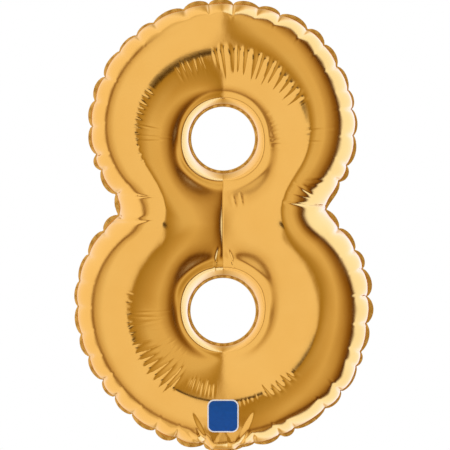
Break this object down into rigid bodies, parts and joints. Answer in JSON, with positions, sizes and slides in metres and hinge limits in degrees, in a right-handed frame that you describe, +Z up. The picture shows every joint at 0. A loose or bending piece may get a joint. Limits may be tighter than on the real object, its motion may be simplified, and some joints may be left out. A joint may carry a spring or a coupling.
{
  "type": "foil number balloon",
  "caption": "Inflated gold foil digit eight of two welded films, with open counters, a scalloped welded rim, a self-closing valve and a folded tail.",
  "frame": {"origin": "centre of the upper counter's opening, in the weld plane midway between the front and back films", "axes": "+Z up the digit, +Y towards its back, so the front faces -Y; +X to the right seen from the front"},
  "size_m": [0.232, 0.0828, 0.3516],
  "materials": {
    "foil": "glossy metallised gold film with fine crinkles",
    "weld": "flat heat-welded gold film, puckered, less glossy",
    "valve_film": "thin clear polythene film",
    "print": "blue print with a white border, on the foil"
  },
  "bodies": {
    "digit": {"front_panel": "foil", "back_panel": "foil", "outer_seam": "weld", "upper_counter_seam": "weld", "lower_counter_seam": "weld", "valve_neck": "valve_film", "front_mark": "print"},
    "valve_front": {"valve_front_film": "valve_film"},
    "valve_back": {"valve_back_film": "valve_film"},
    "tail_root": {"tail_root_front_film": "foil", "tail_root_back_film": "foil"},
    "tail_tip": {"tail_tip_front_film": "foil", "tail_tip_back_film": "foil"}
  },
  "joints": [
    {"name": "valve_open", "type": "hinge", "parent": "digit", "child": "valve_front", "pos_m": [0, -0.0004, -0.2335], "axis": [1, 0, 0], "range_deg": [0, 4], "stiffness_Nm_per_rad": 0.004},
    {"name": "valve_open_back", "type": "hinge", "parent": "digit", "child": "valve_back", "pos_m": [0, 0.0004, -0.2335], "axis": [-1, 0, 0], "range_deg": [0, 4]},
    {"name": "tail_root_fold", "type": "hinge", "parent": "digit", "child": "tail_root", "pos_m": [0, 0, -0.244], "axis": [-1, 0, 0], "range_deg": [0, 120]},
    {"name": "tail_tip_fold", "type": "hinge", "parent": "tail_root", "child": "tail_tip", "pos_m": [0, 0.02598, -0.229], "axis": [-1, 0, 0], "range_deg": [0, 50]}
  ],
  "couplings": [
    {"joint": "valve_open_back", "follows": "valve_open", "ratio": 1}
  ]
}
